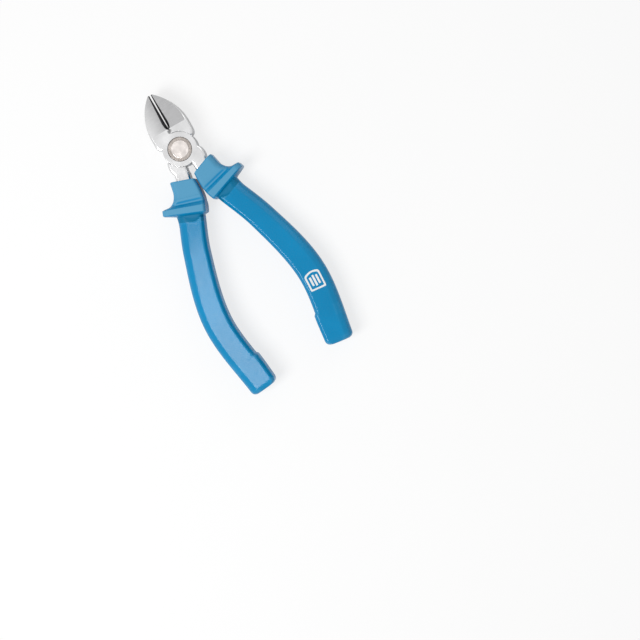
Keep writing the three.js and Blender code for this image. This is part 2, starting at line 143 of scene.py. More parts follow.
class GripSizes(PropertyGroup):
    """Moulded sleeve grip, measured along and across its centre line."""

    overall_length: length("Overall length", "Length of the whole tool", 125.0)
    mouth_offset: length("Mouth offset", "Middle of the mouth from the tool's middle", 5.1)
    mouth_at: length("Mouth at", "Right mouth below the pivot", 9.4)
    left_slip: length("Left slip", "The left sleeve sits this much further down", 1.9)
    mouth_skew: angle("Mouth skew", "Slant of the mouth", 8.0)
    collar_slope: angle("Collar slope", "Slope of the collar's centre line", 12.0)
    guard_from_mouth: length("Guard from mouth", "Middle of the guard from the mouth", 11.1)
    thigh_offset: length("Thigh offset", "Centre line a third of the way down", 14.7)
    thigh_at: length("Thigh at", "That place below the mouth", 30.1)
    belly_offset: length("Belly offset", "Centre line at its widest", 20.9)
    belly_at: length("Belly at", "That place below the mouth", 58.7)
    end_offset: length("End offset", "Centre line at the end", 16.5)
    collar_half_width: length("Collar half width", "Half width at the mouth", 4.9)
    collar_half_height: length("Collar half height", "Half height at the mouth", 6.0)
    collar_inside: length("Collar inside", "Inner side of the collar at the guard", 6.3)
    saddle_start: length("Saddle start", "Start of the thumb saddle from the mouth", 4.0)
    saddle_outside: length("Saddle outside", "Outer side of the saddle at the guard", 6.8)
    guard_reach: length("Guard reach", "Tip of the guard from the centre line", 11.0)
    guard_thickness: length("Guard thickness", "Thickness of the guard", 3.3)
    left_stretch: length("Left stretch", "How far the left collar is drawn out", 0.9)
    right_stretch: length("Right stretch", "How far the right collar is drawn out", 0.1)
    guard_half_height: length("Guard half height", "Half height of the guard's rib", 6.8)
    guard_flank: length("Guard flank", "Run-out of the guard's lower side", 1.0)
    groove_half_height: length("Groove half height", "Half height in the groove", 4.6)
    crown_runup: length("Crown run-up", "From the guard to the flat crown", 3.4)
    crown_bow: length("Crown bow", "Earlier start of the crown at its sides", 1.6)
    crown_fall: length("Crown fall", "How far the crown falls to the outside", 0.56)
    handle_half_width: length("Handle half width", "Half width below the guard", 5.3)
    handle_half_height: length("Handle half height", "Half height of the handle", 5.2)
    belly_half_width: length("Belly half width", "Half width at the belly", 5.76)
    heel_from_end: length("Heel from end", "Small inner step from the end", 14.0)
    heel_step: length("Heel step", "Height of that step", 0.6)
    end_rounding: length("End rounding", "Rounding of the closed end", 2.2)
    end_trim: length("End trim", "Sleeve's end above the end of its drawn line", 0.02)
    end_wall: length("End wall", "Wall beyond the end of the tang", 3.0)
    tang_clearance: length("Tang clearance", "Gap between sleeve and tang", 0.25)
    rim_rounding: length("Rim rounding", "Rounding of the mouth's rim", 0.35)
    groove_shade: length("Groove shade", "Depth below the crown at which the groove looks deep", 0.3)
    collar_dip: length("Collar dip", "Depth of the hollow above the guard", 0.55)
    collar_crease: length("Collar crease", "Height of the fine rib above that hollow", 0.1)


class Finishes(PropertyGroup):
    """Colours of the finishes."""

    plating: colour("Plating", "Satin plated steel", 0.68, 0.68, 0.685)
    ground: colour("Ground steel", "Ground faces of the jaws", 0.44, 0.44, 0.445)
    # Painted shade: the cutting bevels are given a near-black colour for the shade they show
    edge: colour("Cutting bevels", "Dark hardened bevels at the cutting edges", 0.075, 0.075, 0.08)
    rivet: colour("Rivet disc", "Bright disc of the rivet", 0.75, 0.7, 0.67)
    ring: colour("Rivet ring", "Dull ring round the disc", 0.31, 0.28, 0.26)
    vinyl: colour("Vinyl", "Moulded grip", 0.0, 0.235, 0.485)
    # Paler along the edges: partly polish, partly a painted highlight where the edges catch light
    vinyl_polish_and_highlight: colour("Polished vinyl", "Grip along its edges", 0.1, 0.4, 0.64)
    # Painted shade: the vinyl darkened in the groove below the guard
    vinyl_groove_painted_shade: colour("Deep vinyl", "Groove below the guard", 0.0, 0.17, 0.33)
    # Matt tops of the collar and the guard, painted paler as a sheen
    vinyl_matt_painted_sheen: colour("Matt vinyl", "Tops of collar and guard", 0.085, 0.32, 0.52)
    ink: colour("Ink", "Printed mark", 0.86, 0.87, 0.87)
    floor: colour("Floor", "Plain pale floor", 0.93, 0.93, 0.93)


class StageSizes(PropertyGroup):
    """Camera, floor and lights."""

    camera_place: FloatVectorProperty(
        name="Camera place",
        description="Where the camera stands",
        default=(0.06794, -0.03402, 0.65234),
        size=3,
        subtype="TRANSLATION",
        unit="LENGTH",
    )
    camera_turn: FloatVectorProperty(
        name="Camera turn",
        description="How the camera is turned",
        default=(-0.06043, 0.06009, -0.51572),
        size=3,
        subtype="EULER",
    )
    lens: FloatProperty(name="Lens", description="Focal length in millimetres", default=90.705, min=1)
    floor_width: length("Floor width", "Width of the floor", 6000.0)


SETTINGS = {
    "cutter_head": HeadSizes,
    "cutter_rivet": RivetSizes,
    "cutter_grip": GripSizes,
    "cutter_finish": Finishes,
    "cutter_stage": StageSizes,
}


def drawing_sizes(group):
    """A group's lengths in drawing millimetres and its angles in radians."""
    values = {}
    for name, rna in group.bl_rna.properties.items():
        if name in type(group).__annotations__:
            value = getattr(group, name)
            values[name] = value / MM if rna.unit == "LENGTH" else value
    return SimpleNamespace(**values)


# Curves


def profile(pairs):
    """A smooth curve through (place, value) pairs that never swings past them."""
    slopes = [(b[1] - a[1]) / (b[0] - a[0]) for a, b in zip(pairs, pairs[1:])]
    tangents = [0.0] * len(pairs)
    for i in range(1, len(pairs) - 1):
        before, after = slopes[i - 1], slopes[i]
        if before * after > 0:
            tangents[i] = 2 * before * after / (before + after)

    def value(x):
        if x <= pairs[0][0]:
            return pairs[0][1]
        for i in range(len(pairs) - 1):
            (x0, y0), (x1, y1) = pairs[i], pairs[i + 1]
            if x <= x1:
                run = x1 - x0
                t = (x - x0) / run
                rise = t * t * (3 - 2 * t)
                ease = t * (1 - t) * run * ((1 - t) * tangents[i] - t * tangents[i + 1])
                return y0 + (y1 - y0) * rise + ease
        return pairs[-1][1]

    return value


def centripetal_curve(points, steps=600):
    """A Catmull-Rom curve with centripetal spacing through flat points."""
    points = [np.array(p, float) for p in points]
    ends = [2 * points[0] - points[1]] + points + [2 * points[-1] - points[-2]]
    t = np.linspace(0, 1, steps, endpoint=False)[:, None]
    rows = []
    for p0, p1, p2, p3 in zip(ends, ends[1:], ends[2:], ends[3:]):
        d0, d1, d2 = (np.linalg.norm(b - a) ** 0.5 for a, b in ((p0, p1), (p1, p2), (p2, p3)))
        m1 = ((p1 - p0) / d0 - (p2 - p0) / (d0 + d1) + (p2 - p1) / d1) * d1
        m2 = ((p2 - p1) / d1 - (p3 - p1) / (d1 + d2) + (p3 - p2) / d2) * d1
        hermite = (2 * t**3 - 3 * t**2 + 1) * p1 + (t**3 - 2 * t**2 + t) * m1
        rows.append(hermite + (3 * t**2 - 2 * t**3) * p2 + (t**3 - t**2) * m2)
    return np.vstack(rows + [points[-1][None]])


def quadratic(start, bend, end, steps):
    """Points of a quadratic curve after its start."""
    t = np.linspace(0, 1, steps + 1)[1:, None]
    start, bend, end = (np.array(p, float) for p in (start, bend, end))
    return [tuple(p) for p in (1 - t) ** 2 * start + 2 * t * (1 - t) * bend + t**2 * end]


def onward(bend, end, reach=1.5):
    """The next point straight on from the last bend of an outline."""
    step = np.array(end) - np.array(bend)
    return tuple(np.array(end) + step * reach / np.linalg.norm(step))


def eased(corners, steps=6):
    """A closed outline with each (x, z, easing) corner rounded over its easing length."""
    points = np.array([c[:2] for c in corners], float)
    loop = []
    for i, (_, _, easing) in enumerate(corners):
        here, before, after = points[i], points[i - 1], points[(i + 1) % len(points)]
        if easing <= 0:
            loop.append(here)
            continue
        back, on = before - here, after - here
        back_length, on_length = np.linalg.norm(back), np.linalg.norm(on)
        reach = min(easing, 0.48 * back_length, 0.48 * on_length)
        start = here + back * reach / max(back_length, 1e-9)
        end = here + on * reach / max(on_length, 1e-9)
        for t in np.linspace(0, 1, steps):
            loop.append((1 - t) ** 2 * start + 2 * t * (1 - t) * here + t**2 * end)
    return np.array(loop)


# Meshes


def mesh_object(name, vertices, faces):
    """An object from drawing points and faces, with its normals outward."""
    mesh = bpy.data.meshes.new(name)
    mesh.from_pydata([tuple(v) for v in vertices], [], [tuple(f) for f in faces])
    shell = bmesh.new()
    shell.from_mesh(mesh)
    bmesh.ops.remove_doubles(shell, verts=shell.verts, dist=1e-5)
    bmesh.ops.recalc_face_normals(shell, faces=shell.faces)
    shell.to_mesh(mesh)
    shell.free()
    obj = bpy.data.objects.new(name, mesh)
    bpy.context.scene.collection.objects.link(obj)
    return obj


def skin(loops):
    """Vertices and faces of a closed skin through loops with the same number of points."""
    around = len(loops[0])
    vertices = [p for loop in loops for p in loop]
    faces = []
    for row in range(len(loops) - 1):
        low, high = row * around, (row + 1) * around
        for k in range(around):
            j = (k + 1) % around
            faces.append((low + k, low + j, high + j, high + k))
    faces.append(tuple(reversed(range(around))))
    faces.append(tuple(range((len(loops) - 1) * around, len(loops) * around)))
    return vertices, faces


def lathed(name, outline, segments=128):
    """A closed turned body from (radius, z) points that start and end on the axis."""
    vertices, rings = [], []
    for radius, z in outline:
        if radius < 1e-6:
            rings.append([len(vertices)])
            vertices.append((0.0, 0.0, z))
            continue
        rings.append(list(range(len(vertices), len(vertices) + segments)))
        for k in range(segments):
            turn = 2 * math.pi * k / segments
            vertices.append((radius * math.cos(turn), radius * math.sin(turn), z))
    faces = []
    for low, high in zip(rings, rings[1:]):
        for k in range(segments):
            j = (k + 1) % segments
            corners = [low[k % len(low)], low[j % len(low)], high[j % len(high)], high[k % len(high)]]
            faces.append(tuple(dict.fromkeys(corners)))
    return mesh_object(name, vertices, faces)


def inset_outline(outline, distance):
    """An anticlockwise outline moved inward by a distance."""
    points = np.array(outline, float)
    before = points - np.roll(points, 1, 0)
    after = np.roll(points, -1, 0) - points
    before /= np.linalg.norm(before, axis=1)[:, None]
    after /= np.linalg.norm(after, axis=1)[:, None]
    inward_before = np.stack([-before[:, 1], before[:, 0]], 1)
    inward_after = np.stack([-after[:, 1], after[:, 0]], 1)
    mitre = inward_before + inward_after
    mitre /= (1 + (inward_before * inward_after).sum(1))[:, None]
    return points + mitre * distance


def rounded_plate(name, outline, thickness, rounding, steps=7):
    """A plate between z = -thickness / 2 and thickness / 2 with rounded rims."""
    loops = []
    for side in (-1, 1):
        for i in range(steps + 1):
            turn = math.pi / 2 * (i if side > 0 else steps - i) / steps
            z = side * (thickness / 2 - rounding + rounding * math.sin(turn))
            flat = inset_outline(outline, rounding * (1 - math.cos(turn)))
            loops.append([(x, y, z) for x, y in flat])
    return mesh_object(name, *skin(loops))


def block(name, low, high):
    """A cutter with flat sides."""
    (x0, y0, z0), (x1, y1, z1) = low, high
    base = [(x0, y0), (x1, y0), (x1, y1), (x0, y1)]
    return mesh_object(name, *skin([[(x, y, z) for x, y in base] for z in (z0, z1)]))


def worked(obj, steps):
    """Applies (operation, tool object) cuts and joins to an object and removes the tools."""
    for operation, tool in steps:
        change = obj.modifiers.new(operation.lower(), "BOOLEAN")
        change.operation = operation
        change.object = tool
        change.solver = "MANIFOLD"
    bpy.context.view_layer.update()
    result = bpy.data.meshes.new_from_object(obj.evaluated_get(bpy.context.evaluated_depsgraph_get()))
    if not result.polygons:
        raise RuntimeError(f"{obj.name} was cut away to nothing")
    obj.modifiers.clear()
    old = obj.data
    obj.data = result
    bpy.data.meshes.remove(old)
    for _, tool in steps:
        bpy.data.meshes.remove(tool.data)
    return obj


def turned_over(obj):
    """Turns an object's mesh half round about the tool's length."""
    obj.data.transform(Matrix.Rotation(math.pi, 4, "Y"))


def set_in_place(obj, name, turn, body, node):
    """Sets a drawn piece in the row frame, on its body and in place of its solid."""
    to_row = Matrix.Translation(PIVOT) @ Matrix.Rotation(turn, 4, "Z") @ Matrix.Scale(MM, 4)
    obj.data.transform(to_row)
    obj.name = name
    obj.data.name = name
    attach(obj, body)
    if node:
        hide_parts(node)


def smooth_shaded(obj, sharp_degrees):
    """Smooth shading that stays flat on flat faces and breaks at sharp edges."""
    mesh = obj.data
    mesh.polygons.foreach_set("use_smooth", [True] * len(mesh.polygons))
    mesh.set_sharp_from_angle(angle=math.radians(sharp_degrees))
    weighted = obj.modifiers.new("flat_faces", "WEIGHTED_NORMAL")
    weighted.keep_sharp = True
    weighted.weight = 100


# Sleeve grip

CROWN_PLACES = (-1, -0.7, -0.46, -0.23, 0, 0.23, 0.46, 0.7, 1)  # across the flat top
SKIN_EASING = (0.6, 0.45, 0.5, 0.9, 0.9)  # rounding of the skin's corners, inner side first
TANG_EASING = (0.2, 0.2, 0.2, 0.2, 0.2)
BEVEL_BEND = 0.36  # from the uncut corner to the outer bevel's bend, as a share of its size


class SleeveForm:
    """The form of one sleeve grip and of the tang inside it, drawn on the right."""

    def __init__(self, grip, head, slip=0.0):
        self.size, self.head, self.slip = grip, head, slip
        reach = grip.overall_length - head.jaw_reach
        mouth = (grip.mouth_offset, -grip.mouth_at)
        collar = grip.guard_from_mouth
        guard = (
            mouth[0] + collar * math.sin(grip.collar_slope),
            mouth[1] - collar * math.cos(grip.collar_slope),
        )
        thigh = (grip.thigh_offset, -grip.mouth_at - grip.thigh_at)
        belly = (grip.belly_offset, -grip.mouth_at - grip.belly_at)
        self.line = centripetal_curve([mouth, guard, thigh, belly, (grip.end_offset, -reach)])
        steps = np.linalg.norm(np.diff(self.line, axis=0), axis=1)
        self.places = np.concatenate([[0], np.cumsum(steps)])
        self.length = float(self.places[-1]) - grip.left_slip - grip.end_trim
        self.slope = np.gradient(self.line, self.places, axis=0)
        half = grip.guard_thickness / 2
        guard_at = collar + (grip.left_stretch if slip else grip.right_stretch)
        self.guard_top, self.guard_bottom = guard_at - half, guard_at + half
        self.crown_start = self.guard_bottom + grip.crown_runup
        self.heel_at = self.length - grip.heel_from_end
        self.end_start = self.length - grip.end_rounding
        self.skew = profile([(0, grip.mouth_skew), (self.guard_top, 0)])
        self._widths(self.length * grip.belly_at / (reach - grip.mouth_at))
        self._bevels()
        self._tang()

    def _widths(self, belly):
        """Outer and inner side from the centre line, by place along the grip."""
        g, top, low = self.size, self.guard_top, self.guard_bottom
        self.outside = profile(
            [
                (0, g.collar_half_width),
                (g.saddle_start, g.collar_half_width),
                (top - 3.2, g.saddle_outside - 1.1),
                (top - 1.6, g.saddle_outside + 0.1),
                (top - 0.6, g.saddle_outside + 1.6),
                (top - 0.1, g.guard_reach - 1.0),
                (top + 0.25, g.guard_reach - 0.35),
                (top + 0.7, g.guard_reach),
                (low - 0.35, g.guard_reach),
                (low + 0.05, g.guard_reach - 0.35),
                (low + 0.25, g.guard_reach - 1.0),
                (low + g.guard_flank, g.handle_half_width + 0.6),
                (self.crown_start + 3, g.handle_half_width),
                (belly, g.belly_half_width),
                (self.length, g.belly_half_width),
            ]
        )
        self.inside = profile(
            [
                (0, g.collar_half_width + 0.5),
                (2.4, g.collar_half_width + 0.95),
                (top, g.collar_inside + 0.4),
                (low, g.collar_inside + 0.2),
                (low + g.guard_flank, g.handle_half_width),
                (belly, g.belly_half_width),
                (self.heel_at, g.belly_half_width),
                (self.heel_at + 1.2, g.belly_half_width + g.heel_step),
                (self.length, g.belly_half_width),
            ]
        )

    def _bevels(self):
        """Width and depth of the inner and the outer bevel, by place along the grip."""
        top, low = self.guard_top, self.guard_bottom

        def along(collar, guard, handle):
            pairs = [(top - 0.8, collar), (top + 0.2, guard), (low, guard)]
            return profile(pairs + [(low + self.size.guard_flank, handle)])

        self.inner_bevel = along(0.8, 0.8, 1.2), along(1.1, 1.1, 1.7)
        self.outer_bevel = along(1.9, 2.2, 3.1), along(2.0, 2.2, 2.8)

    def _tang(self):
        """Sides and half thickness of the tang, by place along its line."""
        h, guard, straight = self.head, self.size.guard_from_mouth, self.guard_top / 3
        end_width, end_thickness = h.tang_end_half_width, h.tang_end_half_thickness
        ends = [(guard, h.tang_guard_half_width), (self.length, end_width)]
        self.tang_inside = profile([(straight, h.tang_mouth_inside)] + ends)
        self.tang_outside = profile([(straight, h.tang_mouth_outside)] + ends)
        thick = [(guard, h.tang_guard_half_thickness), (self.length, end_thickness)]
        self.tang_half_thickness = profile([(straight, h.thickness / 2)] + thick)

    def point(self, along, across, z=0.0):
        """A point beside the centre line, positive towards the outside of the tool."""
        reach = along + self.slip
        place = min(max(reach, 0.0), self.places[-1])
        middle = np.array([np.interp(place, self.places, self.line[:, k]) for k in (0, 1)])
        tangent = np.array([np.interp(place, self.places, self.slope[:, k]) for k in (0, 1)])
        tangent /= np.linalg.norm(tangent)
        middle = middle + tangent * (reach - place)
        turn = self.skew(along)
        side = np.array([-tangent[1], tangent[0]])
        c, s = math.cos(turn), math.sin(turn)
        side = np.array([c * side[0] - s * side[1], s * side[0] + c * side[1]])
        x, y = middle + side * across
        return (x, y, z)

    def half_height(self, along, across):
        """Half height at a place along the grip and across its crown, from -1 to 1."""
        g, top, low = self.size, self.guard_top, self.guard_bottom
        crown = self.crown_start - g.crown_bow * across * across
        groove = (low + crown) / 2
        height = profile(
            [
                (0, g.collar_half_height),
                (top - 2.6, g.collar_half_height),
                (top - 1.1, g.collar_half_height - g.collar_dip),
                (top - 0.2, g.guard_half_height - 0.6),
                (top + 0.6, g.guard_half_height),
                (low - 0.5, g.guard_half_height),
                (low + 0.1, g.guard_half_height - 0.7),
                (low + 0.6, g.groove_half_height + 0.15),
                (groove, g.groove_half_height),
                (crown - 0.6, g.groove_half_height + 0.1),
                (crown, g.handle_half_height - g.crown_fall * (across + 1) / 2),
            ]
        )(along)
        rib_at, rib_width = top - 3.0, 0.3
        return height + g.collar_crease * math.exp(-(((along - rib_at) / rib_width) ** 2))

    def loop(self, along, inset=0.0):
        """One loop of the outer skin, with a wide outer bevel and a narrow inner one."""
        g = self.size
        past = max(0.0, along - self.end_start) / g.end_rounding
        inset += g.end_rounding * (1 - math.sqrt(max(0.0, 1 - min(past, 1.0) ** 2)))
        tops = [self.half_height(along, a) - 0.6 * inset for a in CROWN_PLACES]
        return self._section(
            along,
            -self.inside(along) + inset,
            self.outside(along) - inset,
            tops,
            [bevel(along) for bevel in self.inner_bevel],
            [bevel(along) for bevel in self.outer_bevel],
            SKIN_EASING,
        )

    def tang_loop(self, along, clearance):
        """One loop of the tang, or of the hollow for it when grown by a clearance."""
        chamfer, place = [self.head.tang_chamfer] * 2, along + self.slip
        return self._section(
            along,
            -self.tang_inside(place) - clearance,
            self.tang_outside(place) + clearance,
            [self.tang_half_thickness(place) + clearance] * len(CROWN_PLACES),
            chamfer,
            chamfer,
            TANG_EASING,
        )

    def _section(self, along, inner, outer, tops, inner_bevel, outer_bevel, easing):
        """A loop across the grip, the same above and below its middle plane."""
        crown_in, crown_out = inner + inner_bevel[0], outer - outer_bevel[0]
        middle, reach = (crown_in + crown_out) / 2, (crown_out - crown_in) / 2
        front = [(inner, tops[0] - inner_bevel[1], easing[0])]
        for i, (across, top) in enumerate(zip(CROWN_PLACES, tops)):
            at_side = {0: easing[1], len(CROWN_PLACES) - 1: easing[2]}
            front.append((middle + reach * across, top, at_side.get(i, 0)))
        bend_in, bend_down = (BEVEL_BEND * size for size in outer_bevel)
        front.append((outer - bend_in, tops[-1] - bend_down, easing[3]))
        front.append((outer, tops[-1] - outer_bevel[1], easing[4]))
        back = [(x, -z, ease) for x, z, ease in reversed(front)]
        return [self.point(along, x, z) for x, z in eased(front + back)]


def spread(start, end, steps):
    """Evenly spaced places that leave out the end."""
    return list(np.linspace(start, end, steps, endpoint=False))


def sleeve(form):
    """A sleeve with its hollow, its rounded rim and its closed, rounded end."""
    g = form.size
    gap, rim = g.tang_clearance, g.rim_rounding
    bottom = form.length - g.end_wall + gap - form.slip
    loops = [form.tang_loop(along, gap) for along in spread(bottom, rim, 28)]
    loops += [form.tang_loop(rim, gap), form.tang_loop(rim * 0.3, gap + rim * 0.3)]
    loops += [form.tang_loop(0, gap + rim), form.loop(0, rim), form.loop(rim * 0.3, rim * 0.3)]
    top, low, heel = form.guard_top, form.guard_bottom, form.heel_at
    # Where each stretch of the skin starts, and how many loops it has
    stops = [(rim, 18), (top - 3.2, 14), (top - 0.6, 17), (top + 1.1, 3), (low - 0.8, 20), (low + 1.2, 20)]
    stops += [(form.crown_start, 84), (heel - 1, 20), (heel + 3, 12), (form.end_start, 0)]
    places = []
    for (start, steps), (end, _) in zip(stops, stops[1:]):
        places += spread(start, end, steps)
    places += [form.end_start + g.end_rounding * math.sin(t) for t in np.linspace(0, math.pi / 2, 11)]
    loops += [form.loop(along) for along in places]
    end = np.array(loops[-1])
    middle = end.mean(0)
    loops += [[tuple(p) for p in middle + (end - middle) * share] for share in (0.8, 0.55, 0.3, 0.12)]
    return mesh_object("sleeve", *skin(loops))


# Steel head


def jaw_outline(h):
    """Outline of the right jaw, running past the middle line."""
    rise = h.jaw_reach - h.jaw_widest_at
    inset = h.jaw_half_width - h.tip_half_width
    radius = (inset**2 + rise**2) / (2 * inset)
    heel = (math.sqrt(h.hub_radius**2 - h.heel_rise**2) + 0.5, h.heel_rise)
    bend = (h.jaw_half_width, h.heel_rise + 0.6)
    side = (h.jaw_half_width, h.jaw_widest_at - h.heel_length)
    outline = [(-h.hub_radius / 2, h.hub_radius / 3), onward(bend, heel), heel]
    outline += quadratic(heel, bend, side, 14)
    sweep = math.asin(rise / radius)
    for t in np.linspace(0, sweep, 36):
        x = h.jaw_half_width - radius + radius * math.cos(t)
        outline.append((x, h.jaw_widest_at + radius * math.sin(t)))
    outline.append((-h.hub_radius / 2, h.jaw_reach))
    return outline


def shank_outline(h, form):
    """Outline of the right shank, from the hub to the mouth of the grip."""
    shoulder = math.sqrt(h.hub_radius**2 - h.shank_shoulder_drop**2)
    inner = form.point(1, -h.tang_mouth_inside)[:2]
    outer = form.point(1, h.tang_mouth_outside)[:2]
    neck = form.point(-0.4, h.tang_mouth_outside)[:2]
    outside = h.hub_radius + h.shank_overhang
    widest = (outside, h.shank_taper - form.size.mouth_at)
    easing = 1.2 * h.rounding
    step = np.array(neck) - np.array(widest)
    below = tuple(np.array(widest) + step * easing / np.linalg.norm(step))
    above = (widest[0], widest[1] + easing)
    top = (shoulder + 0.5, -h.shank_shoulder_drop)
    bend = (outside, -h.shank_shoulder_drop - 1)
    outline = [(h.crotch_half_gap, -h.hub_radius / 2), (h.crotch_half_gap, -h.hub_radius)]
    outline += [inner, outer, neck, below]
    outline += quadratic(below, widest, above, 8)
    outline += quadratic(above, bend, top, 14)
    return outline + [onward(bend, top)]


def forging(h, form):
    """The front half as forged and lapped: left jaw, hub, right shank and tang."""
    low, half = h.lap_clearance / 2, h.thickness / 2
    rim, recess = h.lap_rim, h.hub_radius + h.lap_clearance
    jaw = rounded_plate("forging", jaw_outline(h), h.thickness, h.rounding)
    middle = block("middle", (-FAR, -FAR, -FAR), (h.edge_clearance / 2, FAR, FAR))
    turned_over(worked(jaw, [("DIFFERENCE", middle)]))
    shank = rounded_plate("shank", shank_outline(h, form), h.thickness, h.rounding)
    places = spread(-1, form.size.guard_from_mouth, 14)
    places += spread(form.size.guard_from_mouth, form.length - form.size.end_wall, 30)
    places.append(form.length - form.size.end_wall)
    tang = mesh_object("tang", *skin([form.tang_loop(along, 0) for along in places]))
    seat = [(0, -2 * half), (recess + rim, -2 * half), (recess + rim, -half), (recess, rim - half)]
    seat = lathed("recess", seat + [(recess, low), (0, low)])
    lap = [(0, low), (h.hub_radius, low), (h.hub_radius, half - rim)]
    for t in np.linspace(0, math.pi / 2, 5)[1:]:
        lap.append((h.hub_radius - rim * (1 - math.cos(t)), half - rim + rim * math.sin(t)))
    lap = lathed("lap", lap + [(0, half)])
    return worked(jaw, [("UNION", shank), ("UNION", tang), ("DIFFERENCE", seat), ("UNION", lap)])


def facet_cutter(h, side, drop):
    """A cutter above the sloping ground face on the front or back of the jaws."""
    slope = math.atan2(drop, h.jaw_reach - h.facet_start)
    low, high = (0, FAR) if side > 0 else (-FAR, 0)
    cutter = block("facet", (-FAR, 0, low), (FAR, FAR, high))
    lift = Matrix.Translation((0, h.facet_start, side * h.thickness / 2))
    cutter.data.transform(lift @ Matrix.Rotation(-side * slope, 4, "X"))
    return cutter


def bevel_cutter(h, side, floor, width, depth):
    """A V along the cutting line, its floor rising to the face where the wheel runs out."""
    face = side * h.thickness / 2
    top = face + side
    loops = []
    for t in list(np.linspace(0, math.pi / 2, 21)) + [None]:
        y = h.jaw_reach + 1 if t is None else h.bevel_start + h.bevel_runout * (1 - math.cos(t))
        z = floor if t is None else face + (floor - face) * math.sin(t)
        reach = abs(top - z) * width / depth
        loops.append([(-reach, y, top), (0, y, z), (reach, y, top)])
    return mesh_object("bevel", *skin(loops))


def throat_centre(h):
    """How far above the pivot the throat is drilled."""
    return h.hub_radius + h.lap_clearance + h.throat_radius


def ground(half, h, rivet_sizes):
    """Grinds the jaws, drills the throat and seats the rivet."""
    front_floor = h.thickness / 2 - h.front_bevel_depth
    back_floor = front_floor - h.edge_land
    back_depth = back_floor + h.thickness / 2
    throat = lathed("throat", [(0, -FAR), (h.throat_radius, -FAR), (h.throat_radius, FAR), (0, FAR)], 48)
    throat.data.transform(Matrix.Translation((0, throat_centre(h), 0)))
    tools = [
        facet_cutter(h, 1, h.front_facet_drop),
        facet_cutter(h, -1, h.back_facet_drop),
        bevel_cutter(h, 1, front_floor, h.front_bevel_width, h.front_bevel_depth),
        bevel_cutter(h, -1, back_floor, h.back_bevel_width, back_depth),
        throat,
        rivet_seat(h, rivet_sizes),
    ]
    worked(half, [("DIFFERENCE", tool) for tool in tools])


def rivet_seat(h, r):
    """Cutter for the countersunk seat of the rivet."""
    face, gap = h.thickness / 2 + r.clearance, r.clearance
    head, stem = r.head_radius + gap, r.radius + gap
    land, neck = h.thickness / 2 - r.head_land, h.thickness / 2 - r.head_depth
    front = [(stem, neck), (head, land), (head, face), (0, face)]
    back = [(x, -z) for x, z in reversed(front)]
    return lathed("seat", back + front)


PLATED_SLOT, GROUND_SLOT, EDGE_SLOT = 0, 1, 2
NEAR_PLANE, NEAR_WALL = 0.02, 0.05  # how close a face lies to a ground plane or the throat's wall


def mark_ground_faces(obj, h):
    """Gives the sloping jaw faces and the edge bevels their own finishes."""
    half, throat_at = h.thickness / 2, throat_centre(h)
    for face in obj.data.polygons:
        x, y, z = face.center
        nx, _, nz = face.normal
        drop = h.front_facet_drop if z > 0 else h.back_facet_drop
        slope = drop / (h.jaw_reach - h.facet_start)
        on_facet = abs(abs(z) - half + slope * (y - h.facet_start)) < NEAR_PLANE
        in_throat = math.hypot(x, y - throat_at) < h.throat_radius + NEAR_WALL
        faces_edge = nx * math.copysign(1, x) < -0.2
        if y > h.bevel_start - 0.5 and faces_edge and not in_throat:
            face.material_index = EDGE_SLOT
        elif y > h.facet_start and on_facet and abs(nz) > 0.9:
            face.material_index = GROUND_SLOT
        else:
            face.material_index = PLATED_SLOT


# Materials


def new_node(nodes, kind, **settings):
    """A new node with settings for its properties and, by socket name, its inputs."""
    node = nodes.new(kind)
    for name, value in settings.items():
        if name == "inputs":
            for key, number in value.items():
                node.inputs[key].default_value = number
        else:
            setattr(node, name, value)
    return node


def combined(tree, operation, *inputs):
    """The value of a math node that is fed sockets and plain numbers."""
    node = new_node(tree.nodes, "ShaderNodeMath", operation=operation)
    for given, target in zip(inputs, node.inputs):
        if isinstance(given, float):
            target.default_value = given
        else:
            tree.links.new(given, target)
    return node.outputs["Value"]


def ray_masks(tree):
    """Masks of the camera's rays, and of those with mirrored and let-through rays added."""
    path = new_node(tree.nodes, "ShaderNodeLightPath").outputs
    camera = path["Is Camera Ray"]
    mirrored = combined(tree, "MAXIMUM", camera, path["Is Glossy Ray"])
    return camera, combined(tree, "MAXIMUM", mirrored, path["Is Transmission Ray"])


def effect_group(name, inputs, outputs):
    """An empty node group with float inputs and outputs, and its end nodes."""
    tree = bpy.data.node_groups.new(name, "ShaderNodeTree")
    for label, default in inputs.items():
        made = tree.interface.new_socket(label, in_out="INPUT", socket_type="NodeSocketFloat")
        made.default_value = default
    for label in outputs:
        tree.interface.new_socket(label, in_out="OUTPUT", socket_type="NodeSocketFloat")
    return tree, tree.nodes.new("NodeGroupInput"), tree.nodes.new("NodeGroupOutput")


def grain_group():
    """Fine pitted grain, as a height and as a soft uneven mask."""
    scales = {"Grain Scale": 3000, "Patch Scale": 90}
    tree, given, put = effect_group("surface_grain", scales, ["Height", "Patches"])
    place = new_node(tree.nodes, "ShaderNodeTexCoord")
    fine = new_node(tree.nodes, "ShaderNodeTexNoise", inputs={"Detail": 3, "Roughness": 0.6})
    broad = new_node(tree.nodes, "ShaderNodeTexNoise", inputs={"Detail": 5, "Roughness": 0.55})
    even = new_node(tree.nodes, "ShaderNodeMapRange", inputs={"From Min": 0.32, "From Max": 0.68})
    for noise, scale in ((fine, "Grain Scale"), (broad, "Patch Scale")):
        tree.links.new(place.outputs["Object"], noise.inputs["Vector"])
        tree.links.new(given.outputs[scale], noise.inputs["Scale"])
    tree.links.new(broad.outputs["Fac"], even.inputs["Value"])
    tree.links.new(fine.outputs["Fac"], put.inputs["Height"])
    tree.links.new(even.outputs["Result"], put.inputs["Patches"])
    return tree


